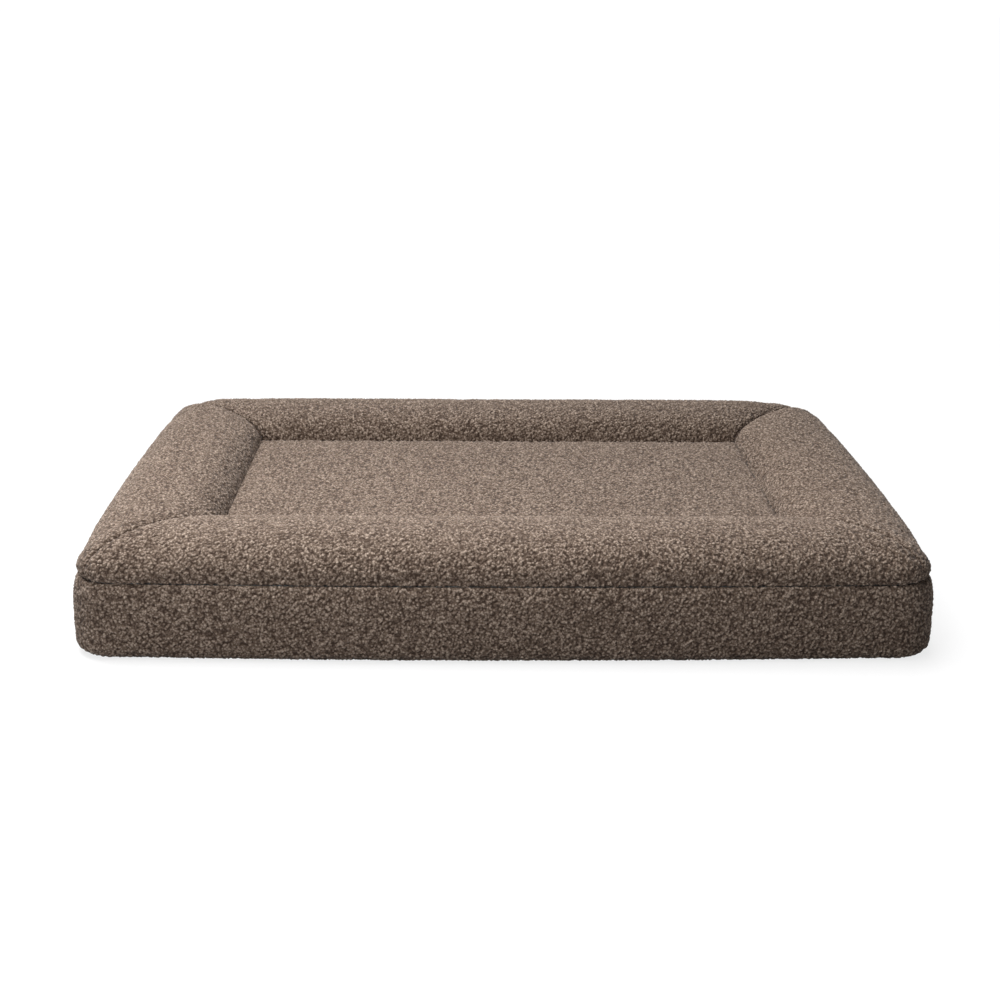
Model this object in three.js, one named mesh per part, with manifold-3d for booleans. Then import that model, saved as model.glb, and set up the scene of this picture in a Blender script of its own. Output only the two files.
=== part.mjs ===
// A rectangular pet cushion bed. Two layers of foam lie in a sewn cover, and four mitred bolsters
// on the cover surround a sunken sleeping surface. A zip along the rear of the base, in the groove
// under the rear bolster, lets the foam out for washing.
//
// Millimetres, +Z up. The origin is at the middle of the underside. The front faces -Y, and +X is
// to the right of someone who looks at the front. A point of the bed's section is written (u, z):
// u is measured inward from the bed's fullest line, and z up from the floor.
import * as THREE from "three";
import { mergeVertices } from "three/addons/utils/BufferGeometryUtils.js";
import Module from "manifold-3d";

const wasm = await Module();
wasm.setup();

// ---------------------------------------------------------------- driving dimensions

const WIDTH = 1070; // across the bed, over the swell of its sides
const DEPTH = 755; // front to rear, over the swell of the front
const HEIGHT = 150; // floor to the crest of a bolster
const SWELL = 10; // how far the front and the sides bow outward between their corners
const CORNER_RADIUS = 50;
const WELL_CORNER_RADIUS = 8;

const EDGE_RADIUS = 15; // round along the lower edge
const EDGE_LIFT = 0.6; // the side fabric clears the floor by this
const WAIST = { inset: 9, height: 97 }; // the seam between the base and the bolsters
const WELL_HEIGHT = 110; // top of the sleeping surface
const SHOULDER = 75; // where the foam's rounded shoulder becomes its flat top
const BOLSTER_WIDTH = 160;
const CREST = 0.47; // place of a bolster's crest, as a share of its width
const FULLNESS = 2.25; // power of the superellipse of a bolster's section

const FABRIC = 3; // cover fabric with its pile
const LINING = 0.8; // plain cloth that closes a bolster below
const LINER = 0.6; // waterproof bag around the foam
const GAP = 0.4; // between pieces that touch
const FIRM_TOP = 78; // top of the firm foam, where the soft foam starts

const ZIP_HEIGHT = 92; // centre line of the zip
const ZIP_DEPTH = 13.3; // middle of the tape, inward from the bed's rear
const SLOT_FLOOR = 86; // top of the rear band, under the zip
const CHAIN = { half: 431.2, inner: 0.8, outer: 3.5, thickness: 2.4 };
const TAPE = { half: 456, inner: 3.9, outer: 8.4, thickness: 1 };
const STOP = { length: 5.4, halfWidth: 3.4, thickness: 3.2 };
const END_TAB = { start: 438, end: 462, floor: 86.4, top: 97, outer: 10.6, thickness: 1.2 };
const GROOVE = { depth: 17.2, floor: 82.4, top: 104 }; // in the foam, behind the zip
const LINER_MOUTH = { half: 474, floor: 20, top: 104, depth: 20 };

const SLIDER = { x: 424, length: 14, width: 9, taper: 2.2, plate: 1.6, channel: 3.2, post: 0.8 };
const BAIL = { half: 4.5, leg: 1.2, width: 2, window: 2.7, roof: 1.2 };
const PULL = { length: 30, width: 7, thickness: 1.4, bar: 0.7, eye: 5, eyeWidth: 3.4, lift: 1.3 };

const CORNER_STEPS = 3; // facets in half a corner
const SIDE_STEPS = 4; // facets along a side
const CURVE_STEPS = 4; // facets in each curve of the base's section
const HUMP_STEPS = 6; // facets in each half of a bolster's section

// ---------------------------------------------------------------- materials

const finish = (color, roughness, metalness = 0) =>
  new THREE.MeshStandardMaterial({ color, roughness, metalness });

const BOUCLE = finish(0x6f6055, 0.95);
const UNDERSIDE = finish(0x3a3531, 0.85);
const PLAIN_CLOTH = finish(0x8a8178, 0.8);
const FILM = finish(0xd9dcdc, 0.45);
const FIRM_FOAM = finish(0xd8cfae, 0.9);
const SOFT_FOAM = finish(0xc9d3d6, 0.9);
const FILLING = finish(0xe9e6df, 1);
const TAPE_CLOTH = finish(0x4c423b, 0.8);
const NYLON = finish(0x40372f, 0.5);
const METAL = finish(0x8d8578, 0.35, 1);

// ---------------------------------------------------------------- joining and cutting

/** Closed geometry as a solid that can be joined and cut. */
function solidOf(geometry) {
  const bare = geometry.clone();
  bare.deleteAttribute("normal");
  bare.deleteAttribute("uv");
  const merged = mergeVertices(bare, 1e-3);
  return new wasm.Manifold(
    new wasm.Mesh({
      numProp: 3,
      vertProperties: merged.attributes.position.array,
      triVerts: new Uint32Array(merged.index.array),
    }),
  );
}

function geometryOf(solid) {
  const { vertProperties, triVerts } = solid.getMesh();
  const geometry = new THREE.BufferGeometry();
  geometry.setAttribute("position", new THREE.BufferAttribute(vertProperties, 3));
  geometry.setIndex(new THREE.BufferAttribute(triVerts, 1));
  geometry.computeVertexNormals();
  return geometry;
}

function union(...geometries) {
  return geometryOf(geometries.map(solidOf).reduce((whole, piece) => whole.add(piece)));
}

function subtract(geometry, tool) {
  return geometryOf(solidOf(geometry).subtract(solidOf(tool)));
}

function intersect(geometry, tool) {
  return geometryOf(solidOf(geometry).intersect(solidOf(tool)));
}

/** A box from its extent along each axis. */
function box([x0, x1], [y0, y1], [z0, z1]) {
  const geometry = new THREE.BoxGeometry(x1 - x0, y1 - y0, z1 - z0);
  return geometry.translate((x0 + x1) / 2, (y0 + y1) / 2, (z0 + z1) / 2);
}

/** A box at the rear of the bed, whose extent in depth is given inward from the rear. */
function rearBox(across, [u0, u1], heights) {
  return box(across, [DEPTH / 2 - u1, DEPTH / 2 - u0], heights);
}

// ---------------------------------------------------------------- skins over rings

/** Six times the volume that a triangle mesh encloses, positive when its faces point out. */
function signedVolume(positions, faces) {
  const corner = (index) => new THREE.Vector3().fromArray(positions, index * 3);
  let total = 0;
  for (let k = 0; k < faces.length; k += 3) {
    const [a, b, c] = faces.slice(k, k + 3).map(corner);
    total += a.dot(b.cross(c));
  }
  return total;
}

/**
 * A closed skin over a row of rings that all have as many points as the contour. The contour is
 * their outline in two dimensions, and says how the two end faces are filled.
 */
function loft(rings, contour) {
  const count = contour.length;
  const last = (rings.length - 1) * count;
  const positions = rings.flat().flatMap((point) => point.toArray());
  const faces = [];
  for (let start = 0; start < last; start += count) {
    for (let k = 0; k < count; k++) {
      const here = start + k;
      const next = start + ((k + 1) % count);
      faces.push(here, next, next + count, here, next + count, here + count);
    }
  }
  const clockwise = THREE.ShapeUtils.isClockWise(contour);
  for (const triangle of THREE.ShapeUtils.triangulateShape(contour, [])) {
    const turned = triangle.toReversed();
    const [first, end] = clockwise ? [triangle, turned] : [turned, triangle];
    faces.push(...first, ...end.map((index) => last + index));
  }
  if (signedVolume(positions, faces) < 0) faces.reverse();
  const geometry = new THREE.BufferGeometry();
  geometry.setAttribute("position", new THREE.Float32BufferAttribute(positions, 3));
  geometry.setIndex(faces);
  geometry.computeVertexNormals();
  return geometry;
}

// ---------------------------------------------------------------- the bed's plan

/** Each side's outward direction, its two corners in counter-clockwise order, and its swell. */
const SIDES = {
  front: { facing: -90, from: [-1, -1], to: [1, -1], swell: SWELL },
  right: { facing: 0, from: [1, -1], to: [1, 1], swell: SWELL },
  rear: { facing: 90, from: [1, 1], to: [-1, 1], swell: 0 },
  left: { facing: 180, from: [-1, 1], to: [-1, -1], swell: SWELL },
};

function direction(degrees) {
  const angle = THREE.MathUtils.degToRad(degrees);
  return new THREE.Vector2(Math.cos(angle), Math.sin(angle));
}

/** A point on the rounded corner of the plan, which is inset and has its own radius. */
function onCorner([signX, signY], inset, radius, degrees) {
  const room = inset + radius;
  const x = signX * (WIDTH / 2 - SWELL - room);
  const y = signY < 0 ? room + SWELL - DEPTH / 2 : DEPTH / 2 - room;
  return new THREE.Vector2(x, y).addScaledVector(direction(degrees), radius);
}

/**
 * The stations of one side, from one mitre to the next. A station is the outermost point of the
 * bed there, and the point of the well's edge that faces it.
 */
function stationsOf({ facing, from, to, swell }) {
  const station = (turn, share) => {
    const degrees = facing + turn;
    const between = (inset, radius) =>
      onCorner(from, inset, radius, degrees).lerp(onCorner(to, inset, radius, degrees), share);
    const push = swell * (1 - (2 * share - 1) ** 2);
    return {
      outer: between(0, CORNER_RADIUS).addScaledVector(direction(facing), push),
      inner: between(BOLSTER_WIDTH, WELL_CORNER_RADIUS),
    };
  };
  const stations = [];
  for (let k = -CORNER_STEPS; k < 0; k++) stations.push(station((45 * k) / CORNER_STEPS, 0));
  for (let k = 0; k <= SIDE_STEPS; k++) stations.push(station(0, k / SIDE_STEPS));
  for (let k = 1; k <= CORNER_STEPS; k++) stations.push(station((45 * k) / CORNER_STEPS, 1));
  return stations;
}

/** The point of a station's section at (u, z). */
function place({ outer, inner }, { x: u, y: z }) {
  const plan = outer.clone().lerp(inner, u / BOLSTER_WIDTH);
  return new THREE.Vector3(plan.x, plan.y, z);
}

/** All stations around the bed, from the front left mitre. */
const LOOP = Object.values(SIDES).flatMap((side) => stationsOf(side).slice(0, -1));

/** A solid stacked from level outlines of the whole bed, given as points (u, z) of its section. */
function slab(levels) {
  const rings = levels.map((level) => LOOP.map((station) => place(station, level)));
  const contour = rings[0].map((point) => new THREE.Vector2(point.x, point.y));
  return loft(rings, contour);
}

/** A length of the bed's border with one section. Both its ends stop short by half a gap. */
function border(stations, section) {
  const rings = stations.map((station) => section.map((point) => place(station, point)));
  const shorten = (ring, neighbour) => {
    const along = neighbour[0].clone().sub(ring[0]).setZ(0).normalize();
    return ring.map((point) => point.clone().addScaledVector(along, GAP));
  };
  rings[0] = shorten(rings[0], rings[1]);
  rings[rings.length - 1] = shorten(rings.at(-1), rings.at(-2));
  return loft(rings, section);
}

// ---------------------------------------------------------------- sections

/** A line through the points, moved to its right by a distance. */
function offset(points, distance) {
  return points.map((point, k) => {
    const before = points[Math.max(k - 1, 0)];
    const after = points[Math.min(k + 1, points.length - 1)];
    const along = after.clone().sub(before).normalize();
    return point.clone().add(new THREE.Vector2(along.y, -along.x).multiplyScalar(distance));
  });
}

/** The side of the base, from its lower edge to the waist. */
function baseSide() {
  const path = new THREE.Path();
  path.moveTo(EDGE_RADIUS, EDGE_LIFT);
  path.quadraticCurveTo(0, EDGE_LIFT, 0, EDGE_LIFT + EDGE_RADIUS);
  path.bezierCurveTo(0, 0.7 * WAIST.height, 1.5, 0.9 * WAIST.height, WAIST.inset, WAIST.height);
  return path.getPoints(CURVE_STEPS);
}

/** The top of the base under a bolster, from the waist to the flat. */
function shoulder() {
  const start = new THREE.Vector2(WAIST.inset, WAIST.height);
  const bend = new THREE.Vector2(2.2 * WAIST.inset, WELL_HEIGHT);
  const end = new THREE.Vector2(SHOULDER, WELL_HEIGHT);
  return new THREE.QuadraticBezierCurve(start, bend, end).getPoints(CURVE_STEPS + 2);
}

/** The arch of a bolster from its outer to its inner foot, thinned by an inset on every side. */
function hump(inset) {
  const crest = CREST * BOLSTER_WIDTH;
  const outerReach = crest - WAIST.inset - inset;
  const innerReach = BOLSTER_WIDTH - crest - inset;
  const power = 2 / FULLNESS;
  const arch = (angle, reach, foot) =>
    new THREE.Vector2(
      crest + reach * Math.cos(angle) ** power,
      foot + (HEIGHT - inset - foot) * Math.sin(angle) ** power,
    );
  const points = [];
  for (let k = 0; k < HUMP_STEPS; k++) {
    points.push(arch((k * Math.PI) / 2 / HUMP_STEPS, -outerReach, WAIST.height + GAP));
  }
  for (let k = HUMP_STEPS; k >= 0; k--) {
    points.push(arch((k * Math.PI) / 2 / HUMP_STEPS, innerReach, WELL_HEIGHT));
  }
  return points;
}

/** The base's core: everything inside the cover, shrunk by a distance from the cover's face. */
function core(distance) {
  return slab(offset([...baseSide(), ...shoulder().slice(1)], distance));
}

/** The base's top under a bolster, sunk by a distance, and run on to under the inner foot. */
function underside(distance) {
  const run = offset(shoulder(), distance).slice(1);
  const foot = BOLSTER_WIDTH - FABRIC - GAP;
  return [...run, new THREE.Vector2(foot, WELL_HEIGHT - distance)];
}

// ---------------------------------------------------------------- cover

const REAR = stationsOf(SIDES.rear);
const STRAIGHT = REAR.slice(CORNER_STEPS, CORNER_STEPS + SIDE_STEPS + 1);

function bandSection() {
  const side = baseSide();
  return [...side, ...offset(side, FABRIC).reverse()];
}

/** The strip of fabric round the front and the sides, which turns both rear corners. */
function frontAndSideBand() {
  const start = LOOP.length - LOOP.length / 4 - CORNER_STEPS;
  const stations = [...LOOP.slice(start), ...LOOP.slice(0, start - SIDE_STEPS + 1)];
  return border(stations, bandSection());
}

/** The rear strip stops below the zip, where it turns in to the lower tape. */
function rearBand() {
  const inward = WAIST.inset + FABRIC;
  const half = place(STRAIGHT[0], { x: inward, y: SLOT_FLOOR }).x - GAP;
  const whole = border(STRAIGHT, bandSection());
  const above = rearBox([-WIDTH, WIDTH], [-GAP, EDGE_RADIUS], [SLOT_FLOOR, WELL_HEIGHT]);
  const hem = rearBox([-half, half], [FABRIC, inward], [SLOT_FLOOR - FABRIC, SLOT_FLOOR]);
  return union(subtract(whole, above), hem);
}

function bottomPanel() {
  const edge = EDGE_RADIUS + GAP;
  return slab([new THREE.Vector2(edge, 0), new THREE.Vector2(edge, FABRIC)]);
}

function sleepingPanel() {
  const edge = BOLSTER_WIDTH + GAP;
  const below = new THREE.Vector2(edge, WELL_HEIGHT - FABRIC);
  return slab([below, new THREE.Vector2(edge, WELL_HEIGHT)]);
}

// ---------------------------------------------------------------- bolsters

function bolsterCover(side) {
  const foot = WELL_HEIGHT - FABRIC;
  const innerFoot = [
    new THREE.Vector2(BOLSTER_WIDTH, foot),
    new THREE.Vector2(BOLSTER_WIDTH - FABRIC, foot),
  ];
  return border(stationsOf(side), [...hump(0), ...innerFoot, ...hump(FABRIC).reverse()]);
}

function bolsterLining(side) {
  const top = underside(FABRIC - LINING);
  return border(stationsOf(side), [...top, ...underside(FABRIC).reverse()]);
}

function bolsterInsert(side) {
  const arch = hump(FABRIC + GAP).slice(1);
  return border(stationsOf(side), [...arch, ...underside(FABRIC - LINING - GAP).reverse()]);
}

// ---------------------------------------------------------------- foam and its liner

const LINER_FACE = FABRIC + GAP;
const FOAM_FACE = LINER_FACE + LINER + GAP;

/** The part of the foam between two heights. */
function foamLayer(bottom, top) {
  return intersect(core(FOAM_FACE), box([-WIDTH, WIDTH], [-DEPTH, DEPTH], [bottom, top]));
}

function comfortFoam() {
  const { depth, floor, top } = GROOVE;
  const groove = rearBox([-LINER_MOUTH.half, LINER_MOUTH.half], [0, depth], [floor, top]);
  return subtract(foamLayer(FIRM_TOP + GAP, HEIGHT), groove);
}

/** A bag that is open along the rear, where the foam goes in. */
function innerLiner() {
  const { half, floor, top, depth } = LINER_MOUTH;
  const bag = subtract(core(LINER_FACE), core(LINER_FACE + LINER));
  return subtract(bag, rearBox([-half, half], [0, depth], [floor, top]));
}

// ---------------------------------------------------------------- zip

/** A strip of the zip, above or below its centre line. */
function zipStrip({ half, inner, outer, thickness }, sign) {
  const heights = [ZIP_HEIGHT + sign * inner, ZIP_HEIGHT + sign * outer].sort((a, b) => a - b);
  return rearBox([-half, half], [ZIP_DEPTH - thickness / 2, ZIP_DEPTH + thickness / 2], heights);
}

function zipStop(sign) {
  const near = CHAIN.half + GAP;
  const across = [sign * near, sign * (near + STOP.length)].sort((a, b) => a - b);
  const depths = [ZIP_DEPTH - STOP.thickness / 2, ZIP_DEPTH + STOP.thickness / 2];
  return rearBox(across, depths, [ZIP_HEIGHT - STOP.halfWidth, ZIP_HEIGHT + STOP.halfWidth]);
}

function endTab(sign) {
  const { start, end, floor, top, outer, thickness } = END_TAB;
  const across = [sign * start, sign * end].sort((a, b) => a - b);
  return rearBox(across, [outer, outer + thickness], [floor, top]);
}

/** A flat outline in the X-Z plane, as a plate between two distances out from the tape. */
function plate(outline, from, to) {
  const geometry = new THREE.ExtrudeGeometry(outline, { depth: to - from, bevelEnabled: false });
  return geometry.rotateX(Math.PI / 2).translate(0, to, 0);
}

/** The slider is made around its own middle: +X is its mouth, and +Y is out of the bed. */
function slider() {
  const { length, width, taper, plate: thickness, channel, post } = SLIDER;
  const face = channel / 2 + thickness;
  const outline = new THREE.Shape();
  outline.moveTo(-length / 2, width / 2 - taper);
  outline.lineTo(-length / 2, taper - width / 2);
  outline.lineTo(0, -width / 2);
  outline.lineTo(length / 2, -width / 2);
  outline.lineTo(length / 2, width / 2);
  outline.lineTo(0, width / 2);
  const web = box([0, length / 2], [-channel / 2 - GAP, channel / 2 + GAP], [-post / 2, post / 2]);
  const crossing = [-BAIL.width / 2, BAIL.width / 2];
  const crown = face + BAIL.window + BAIL.roof;
  const arch = box([-BAIL.half, BAIL.half], [face - GAP, crown], crossing);
  const inside = BAIL.half - BAIL.leg;
  const window = box([-inside, inside], [face, face + BAIL.window], [-BAIL.width, BAIL.width]);
  return union(
    plate(outline, channel / 2, face),
    plate(outline, -face, -channel / 2),
    web,
    subtract(arch, window),
  );
}

/** The pull is made around its bar, and hangs along -X. */
function pull() {
  const { length, width, thickness, bar, eye, eyeWidth } = PULL;
  const outline = new THREE.Shape();
  const round = width / 2;
  outline.moveTo(bar, -round);
  outline.lineTo(bar, round);
  outline.lineTo(round - length, round);
  outline.absarc(round - length, 0, round, Math.PI / 2, (3 * Math.PI) / 2, false);
  const hole = new THREE.Path();
  hole.moveTo(-bar, -eyeWidth / 2);
  hole.lineTo(-bar, eyeWidth / 2);
  hole.lineTo(-bar - eye, eyeWidth / 2);
  hole.lineTo(-bar - eye, -eyeWidth / 2);
  outline.holes.push(hole);
  return plate(outline, -thickness / 2, thickness / 2);
}

// ---------------------------------------------------------------- assembly

function mesh(name, geometry, material) {
  const made = new THREE.Mesh(geometry, material);
  made.name = name;
  return made;
}

function cover() {
  const group = new THREE.Group();
  group.add(
    mesh("bottom_panel", bottomPanel(), UNDERSIDE),
    mesh("front_and_side_band", frontAndSideBand(), BOUCLE),
    mesh("rear_band", rearBand(), BOUCLE),
    mesh("sleeping_panel", sleepingPanel(), BOUCLE),
  );
  return group;
}

function bolsters() {
  const group = new THREE.Group();
  for (const [name, side] of Object.entries(SIDES)) {
    group.add(
      mesh(`bolster_cover_${name}`, bolsterCover(side), BOUCLE),
      mesh(`bolster_lining_${name}`, bolsterLining(side), PLAIN_CLOTH),
      mesh(`bolster_insert_${name}`, bolsterInsert(side), FILLING),
    );
  }
  return group;
}

function filling() {
  const group = new THREE.Group();
  group.add(
    mesh("support_foam", foamLayer(0, FIRM_TOP), FIRM_FOAM),
    mesh("comfort_foam", comfortFoam(), SOFT_FOAM),
    mesh("inner_liner", innerLiner(), FILM),
  );
  return group;
}

function zip() {
  const group = new THREE.Group();
  group.add(
    mesh("zip_tape_upper", zipStrip(TAPE, 1), TAPE_CLOTH),
    mesh("zip_tape_lower", zipStrip(TAPE, -1), TAPE_CLOTH),
    mesh("zip_chain_upper", zipStrip(CHAIN, 1), NYLON),
    mesh("zip_chain_lower", zipStrip(CHAIN, -1), NYLON),
    mesh("zip_top_stop", zipStop(1), METAL),
    mesh("zip_bottom_stop", zipStop(-1), METAL),
    mesh("zip_end_tab_right", endTab(1), BOUCLE),
    mesh("zip_end_tab_left", endTab(-1), BOUCLE),
  );
  return group;
}

/** The slider with its pull, in the closed position. */
function sliderAndPull() {
  const group = new THREE.Group();
  group.position.set(SLIDER.x, DEPTH / 2 - ZIP_DEPTH, ZIP_HEIGHT);
  const tab = mesh("zip_pull", pull(), METAL);
  tab.position.y = SLIDER.channel / 2 + SLIDER.plate + PULL.lift;
  group.add(mesh("zip_slider", slider(), METAL), tab);
  return group;
}

const bed = new THREE.Group();
bed.add(cover(), bolsters(), filling(), zip(), sliderAndPull());

export default bed;
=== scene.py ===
"""The looks of a boucle pet bed: a foam base and four mitred bolsters in one sewn, zipped cover.

Metres, in the part's own frame: +Z up, the front faces -Y, the origin is under the middle. A point
of the bed's section is written (u, z): u is measured inward from the bed's fullest line.
"""

import itertools
import math

import bmesh
import bpy
import numpy as np
from mathutils import Matrix, Vector


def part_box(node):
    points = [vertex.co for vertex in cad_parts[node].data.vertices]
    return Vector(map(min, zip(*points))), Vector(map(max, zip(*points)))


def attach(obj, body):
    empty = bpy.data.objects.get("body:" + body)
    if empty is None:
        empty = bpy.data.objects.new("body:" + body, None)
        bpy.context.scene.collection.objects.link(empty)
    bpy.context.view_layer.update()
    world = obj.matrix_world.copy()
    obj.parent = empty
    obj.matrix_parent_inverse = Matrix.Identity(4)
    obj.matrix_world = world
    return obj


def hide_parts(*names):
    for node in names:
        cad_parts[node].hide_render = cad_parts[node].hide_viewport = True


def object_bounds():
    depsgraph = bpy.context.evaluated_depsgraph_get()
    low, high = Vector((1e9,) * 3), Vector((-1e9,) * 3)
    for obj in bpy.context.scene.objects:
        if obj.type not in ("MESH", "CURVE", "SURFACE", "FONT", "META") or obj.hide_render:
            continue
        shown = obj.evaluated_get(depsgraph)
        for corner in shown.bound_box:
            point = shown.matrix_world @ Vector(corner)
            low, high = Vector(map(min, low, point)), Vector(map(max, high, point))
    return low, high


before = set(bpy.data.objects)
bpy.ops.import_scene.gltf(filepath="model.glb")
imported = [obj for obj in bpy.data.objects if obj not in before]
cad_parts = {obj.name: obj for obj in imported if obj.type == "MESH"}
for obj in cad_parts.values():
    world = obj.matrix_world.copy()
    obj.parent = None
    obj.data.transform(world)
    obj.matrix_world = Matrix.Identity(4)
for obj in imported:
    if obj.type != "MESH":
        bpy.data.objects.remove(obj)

MM = 0.001
CAD_BOX = [list(corner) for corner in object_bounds()]

# ------------------------------------------------------------------ sizes

LOW, HIGH = np.array(CAD_BOX)
PANEL_LOW, PANEL_HIGH = np.array(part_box("sleeping_panel"))
COVER_LOW = np.array(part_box("bolster_cover_front"))[0]

SWELL = 10 * MM  # the front and the sides bow outward by this between their corners
CORNER_RADIUS = 50 * MM
WELL_RADIUS = 8 * MM
GAP = 0.4 * MM
FABRIC = 3 * MM

HALF_X = HIGH[0] - SWELL
FRONT_Y = LOW[1] + SWELL
REAR_Y = HIGH[1]
BOLSTER_WIDTH = HALF_X - PANEL_HIGH[0] - GAP
CREST_Z = HIGH[2] - 4 * MM  # the filling and the nubs stand a little proud of this
WELL_Z = PANEL_HIGH[2]
WAIST_Z = COVER_LOW[2] - GAP
WAIST_INSET = 9 * MM
CREST = 0.47  # place of a bolster's crest, as a share of its width
FULLNESS = 2.25  # power of the superellipse of a bolster's section

EDGE_RADIUS = 15 * MM  # round along the lower edge of the base
SEAM_TUCK = 2.2 * MM  # radius of the fabric where it turns in to a seam
OVERHANG = 5 * MM  # a bolster's outer side swells out past its foot by this
# At each corner: the share of a bolster's height that its mitre seam lies below the crest, and how
# far from the seam the bolster is full again. The filling is thinnest at the rear right.
MITRES = {
    (-1, -1): (0.12, 20 * MM),
    (1, -1): (0.06, 20 * MM),
    (1, 1): (0.28, 70 * MM),
    (-1, 1): (0.22, 45 * MM),
}
SHOULDER_END = 75 * MM  # the base's top is level from here inward, under the bolsters
SHOULDER_Z = WELL_Z

CREASE_DEPTH = 1.7 * MM  # a mitre seam's stitching draws the cloth in by this
CREASE_REACH = 4 * MM
REAR_NOTCH = 2.2  # how many times deeper and wider the crease is in the well's rear corners

STEP = 1.25 * MM  # spacing of the fabric's mesh
COARSE_STEP = 10 * MM
NUB = 3.4 * MM  # spacing of the fabric's loops of yarn
PILE = 2.2 * MM  # height of the loops
PILE_BELOW = 0.35  # share of that height that lies below the cloth's face
CURL = 2.9 * MM  # size of the fine curls in a loop of yarn

EDGE_LIFT = 1.2 * MM  # the bands' lower edge clears the floor by this
PANEL_LAP = 2 * MM  # the sleeping panel reaches this far under the bolsters
PANEL_DIP = 2 * MM  # and its border dips by this to the seam,
PANEL_DIP_REACH = 22 * MM  # over this distance

LINER_INSET = 4.2 * MM  # inward from the cover's outer face
FOAM_INSET = 4.9 * MM
SHOULDER_TURN = 19.8 * MM  # how far in the foam's shoulder turns level
FILLING_INSET = FABRIC + 1.6 * MM
FILLING_FOOT = WAIST_INSET + 6 * MM  # where the filling of a bolster starts
LUMP = 0.5 * MM  # height of the filling's lumps
BASE_CLOTH = 0.4 * MM  # thickness of the cloth below a bolster's filling
BASE_CLOTH_DROP = 2.2 * MM  # its top lies this far under the foam's shoulder as the CAD has it

DOT_RADIUS = 2.5 * MM  # grip dots on the underside
DOT_HEIGHT = 0.8 * MM
DOT_PITCH = 20 * MM

ZIP_RECESS = 17.2 * MM  # room for the slider, inward from the bed's rear
ZIP_MARGIN = 18 * MM  # the room reaches this far past the tape's ends
MOUTH_FLOOR = 20 * MM  # lower and upper edge of the liner's mouth
MOUTH_TOP = WAIST_Z + 7 * MM
COIL_PITCH = 1.4 * MM
COIL_YARN = 0.35 * MM
COIL_MESH = 0.55 * MM  # each coil reaches this far into the slot that the solids leave between them
TAPE_LAP = 14 * MM  # the tapes' ends reach this far past their solids, under the tabs
TAPE_TURN = 3 * MM  # height over which the lower tape turns out to the rear band
TAB_LAP = 15 * MM  # the tabs' outer ends are caught in the band's end seams
TAB_PLUMP = 3 * MM  # they are thicker than their solids by this, toward the foam, up and down,
TAB_PROUD = 0.5 * MM  # and by this toward the rear
BROKEN_EDGES = {
    "zip_slider": 0.2 * MM,
    "zip_pull": 0.25 * MM,
    "zip_top_stop": 0.5 * MM,
    "zip_bottom_stop": 0.5 * MM,
}

CLOTH_FRAMES = 20
CLOTH_STRIDE = 7  # the simulated cloth has one point for this many of the mesh's, each way

QUARTER = math.pi / 2  # a quarter turn


# ------------------------------------------------------------------ the bed's plan

# The angle that each side faces, the corners it runs between, and how far it bows out.
SIDES = {
    "front": (-QUARTER, (-1, -1), (1, -1), SWELL),
    "right": (0, (1, -1), (1, 1), SWELL),
    "rear": (QUARTER, (1, 1), (-1, 1), 0),
    "left": (2 * QUARTER, (-1, 1), (-1, -1), SWELL),
}


def heading(angle):
    """Unit vectors in plan at these angles."""
    return np.stack([np.cos(angle), np.sin(angle)], axis=-1)


def corner_point(corner):
    """Where the straight lines of two sides would cross."""
    return np.array([corner[0] * HALF_X, REAR_Y if corner[1] > 0 else FRONT_Y])


def on_corner(corner, inset, radius, angle):
    """Points on the rounded corner of the plan, inset and with its own radius."""
    centre = corner_point(corner) - np.array(corner) * (inset + radius)
    return centre + radius * heading(angle)


def stations(side, turns, shares):
    """Outer points of the bed and the facing points of the well's edge, one pair per station."""
    facing, start, end, swell = SIDES[side]
    angle = facing + turns
    share = shares[:, None]

    def between(inset, radius):
        first = on_corner(start, inset, radius, angle)
        last = on_corner(end, inset, radius, angle)
        return first * (1 - share) + last * share

    push = swell * (1 - (2 * share - 1) ** 2)
    outer = between(0, CORNER_RADIUS) + push * heading(np.full(len(turns), facing))
    return outer, between(BOLSTER_WIDTH, WELL_RADIUS)


def straight_length(side):
    """Length of one side between its rounded corners."""
    _, start, end, _ = SIDES[side]
    return np.linalg.norm(corner_point(end) - corner_point(start)) - 2 * CORNER_RADIUS


def side_stations(side, step, turned=(True, True), reach=1.0):
    """Stations of a whole side, with half of each corner that it turns, or that share of the half."""
    arc = max(2, round(CORNER_RADIUS * QUARTER / 2 / step))
    run = round(straight_length(side) / step)
    turn = np.linspace(0, reach * QUARTER / 2, arc + 1)[1:]
    turns, shares = [np.zeros(run + 1)], [np.linspace(0, 1, run + 1)]
    if turned[0]:
        turns.insert(0, -turn[::-1])
        shares.insert(0, np.zeros(arc))
    if turned[1]:
        turns.append(turn)
        shares.append(np.ones(arc))
    return stations(side, np.concatenate(turns), np.concatenate(shares))


def place(station, u, z):
    """A grid of points: one row per station, one column per point of the section."""
    outer, inner = station
    u = np.broadcast_to(u, (len(outer), np.shape(u)[-1]))
    z = np.broadcast_to(z, u.shape)
    share = (u / BOLSTER_WIDTH)[..., None]
    plan = outer[:, None] * (1 - share) + inner[:, None] * share
    return np.concatenate([plan, z[..., None]], axis=-1)


# ------------------------------------------------------------------ sections


def even(points, step):
    """The same line, with its points a step apart."""
    lengths = np.linalg.norm(np.diff(points, axis=0), axis=1)
    along = np.concatenate([[0], np.cumsum(lengths)])
    count = max(2, round(along[-1] / step)) + 1
    at = np.linspace(0, along[-1], count)
    return np.stack([np.interp(at, along, column) for column in points.T], axis=-1)


def tuck(height, radius):
    """How far fabric is pulled in at a height above its seam."""
    share = 1 - np.clip(height / max(radius, 1e-6), 0, 1)
    return radius * (1 - np.sqrt(1 - share**2))


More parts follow.
